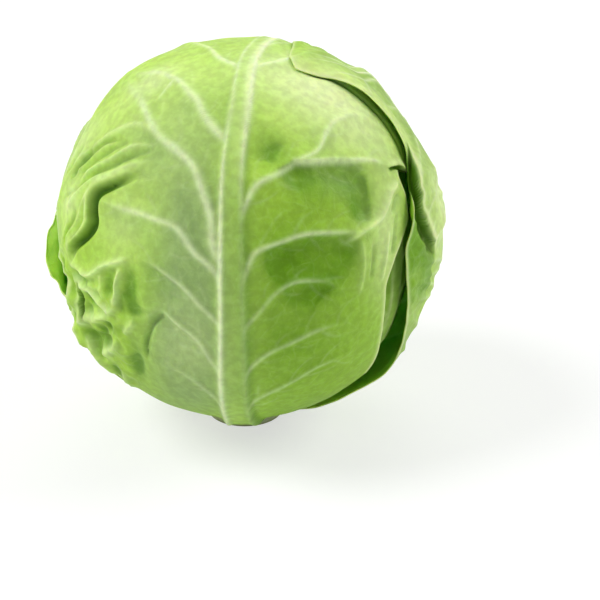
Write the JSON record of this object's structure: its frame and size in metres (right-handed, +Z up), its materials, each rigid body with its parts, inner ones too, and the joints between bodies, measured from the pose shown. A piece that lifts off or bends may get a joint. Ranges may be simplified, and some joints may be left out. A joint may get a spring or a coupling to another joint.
{
  "type": "white cabbage",
  "caption": "Whole round head of white cabbage with pale green wrapper leaves, thick midribs, branching veins and a short cut stem it stands on.",
  "frame": {"origin": "centre of the stem's cut face, which is the flat spot the head rests on", "axes": "+Z up along the stem; -Y is the side with the largest wrapper leaf's midrib in the middle; +X is that side's right"},
  "size_m": [0.1824, 0.1786, 0.1808],
  "materials": {
    "wrapper_leaf": "waxy light green leaf with pale veins",
    "under_leaf": "smooth fresh green leaf",
    "inner_leaf": "smooth cream to pale yellow-green leaf",
    "stem_flesh": "matte moist fibrous white flesh"
  },
  "bodies": {
    "root": {"wrapper_leaf_right": "wrapper_leaf", "wrapper_leaf_left": "wrapper_leaf", "wrapper_leaf_front": "wrapper_leaf", "under_leaf_left": "under_leaf", "under_leaf_right": "under_leaf", "under_leaf_back": "under_leaf", "inner_leaf_01": "inner_leaf", "inner_leaf_02": "inner_leaf", "inner_leaf_03": "inner_leaf", "inner_leaf_04": "inner_leaf", "inner_leaf_05": "inner_leaf", "inner_leaf_06": "inner_leaf", "inner_leaf_07": "inner_leaf", "inner_leaf_08": "inner_leaf", "inner_leaf_09": "inner_leaf", "inner_leaf_10": "inner_leaf", "inner_leaf_11": "inner_leaf", "inner_leaf_12": "inner_leaf", "inner_leaf_13": "inner_leaf", "inner_leaf_14": "inner_leaf", "heart": "inner_leaf", "stem": "stem_flesh"}
  },
  "joints": []
}
